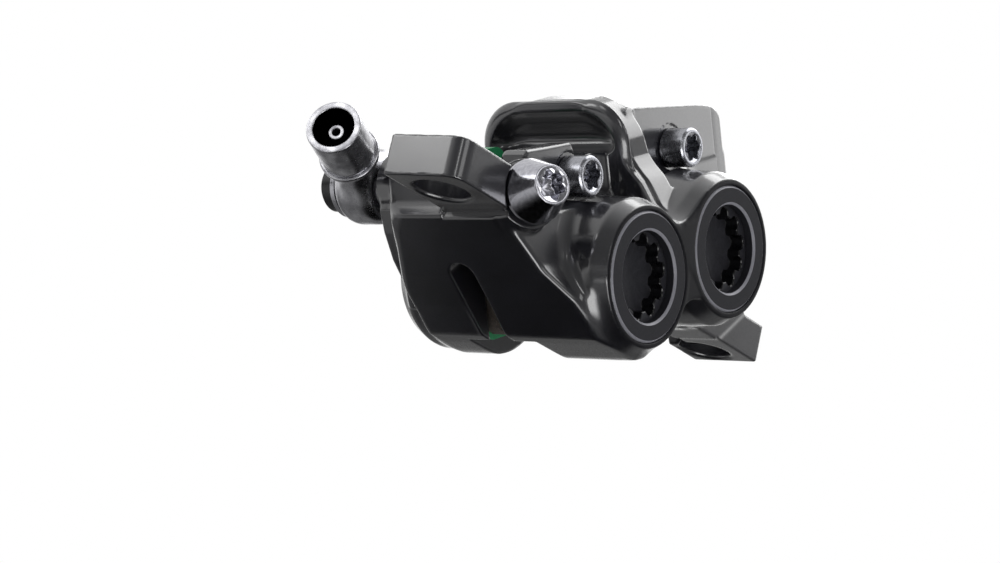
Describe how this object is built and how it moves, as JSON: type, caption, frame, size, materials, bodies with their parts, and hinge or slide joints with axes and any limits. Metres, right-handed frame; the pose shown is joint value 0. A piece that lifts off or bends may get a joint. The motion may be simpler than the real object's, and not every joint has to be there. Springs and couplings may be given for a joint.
{
  "type": "bicycle disc brake caliper",
  "caption": "Hydraulic disc brake caliper for a bicycle: gloss black forged body on post-mount ears, bore caps, retained pads, bleed screw and swivelling hose fitting.",
  "frame": {"origin": "midway between the two mounting holes, on the face of the ears that sits on the posts", "axes": "X along the line of the two holes, Y along the rotor axis with the bore caps on the -Y side, Z along the mounting bolts away from the rotor centre"},
  "size_m": [0.0867, 0.0511, 0.051],
  "materials": {
    "body_black": "gloss",
    "cap_black": "satin",
    "ring_black": "satin",
    "seal_rubber": "matte",
    "piston_steel": "satin",
    "magnet_nickel": "gloss",
    "plate_green": "satin",
    "lining_resin": "matte",
    "screw_steel": "satin",
    "bleed_aluminium": "gloss",
    "fitting_aluminium": "polished",
    "bolt_black": "satin",
    "washer_aluminium": "satin"
  },
  "bodies": {
    "caliper": {"caliper_body": "body_black", "bore_cap_left": "cap_black", "bore_cap_right": "cap_black", "cap_ring_left": "ring_black", "cap_ring_right": "ring_black", "cap_seal_left": "seal_rubber", "cap_seal_right": "seal_rubber", "seal_near_left": "seal_rubber", "seal_near_right": "seal_rubber", "seal_far_left": "seal_rubber", "seal_far_right": "seal_rubber", "pad_screw_left": "screw_steel", "pad_screw_right": "screw_steel", "bleed_screw": "bleed_aluminium", "bleed_seal": "seal_rubber", "banjo_bolt": "bolt_black", "banjo_seal_inner": "washer_aluminium", "banjo_seal_outer": "washer_aluminium", "crossover_plug": "bolt_black"},
    "pad_near_left": {"piston_near_left": "piston_steel", "magnet_near_left": "magnet_nickel", "plate_near_left": "plate_green", "lining_near_left": "lining_resin"},
    "pad_near_right": {"piston_near_right": "piston_steel", "magnet_near_right": "magnet_nickel", "plate_near_right": "plate_green", "lining_near_right": "lining_resin"},
    "pad_far_left": {"piston_far_left": "piston_steel", "magnet_far_left": "magnet_nickel", "plate_far_left": "plate_green", "lining_far_left": "lining_resin"},
    "pad_far_right": {"piston_far_right": "piston_steel", "magnet_far_right": "magnet_nickel", "plate_far_right": "plate_green", "lining_far_right": "lining_resin"},
    "hose_fitting": {"hose_eye": "fitting_aluminium", "hose_sleeve": "fitting_aluminium", "hose_barb": "fitting_aluminium"}
  },
  "joints": [
    {"name": "pad_near_left_travel", "type": "slide", "parent": "caliper", "child": "pad_near_left", "axis": [0, 1, 0], "range_m": [0, 0.0011]},
    {"name": "pad_near_right_travel", "type": "slide", "parent": "caliper", "child": "pad_near_right", "axis": [0, 1, 0], "range_m": [0, 0.0011]},
    {"name": "pad_far_left_travel", "type": "slide", "parent": "caliper", "child": "pad_far_left", "axis": [0, -1, 0], "range_m": [0, 0.0011]},
    {"name": "pad_far_right_travel", "type": "slide", "parent": "caliper", "child": "pad_far_right", "axis": [0, -1, 0], "range_m": [0, 0.0011]},
    {"name": "hose_fitting_swivel", "type": "hinge", "parent": "caliper", "child": "hose_fitting", "pos_m": [-0.02038, 0.03, 0.00748], "axis": [0, 1, 0], "range_deg": [-20, 20]}
  ],
  "couplings": [
    {"joint": "pad_near_right_travel", "follows": "pad_near_left_travel", "ratio": 1},
    {"joint": "pad_far_left_travel", "follows": "pad_near_left_travel", "ratio": 1},
    {"joint": "pad_far_right_travel", "follows": "pad_near_left_travel", "ratio": 1}
  ]
}
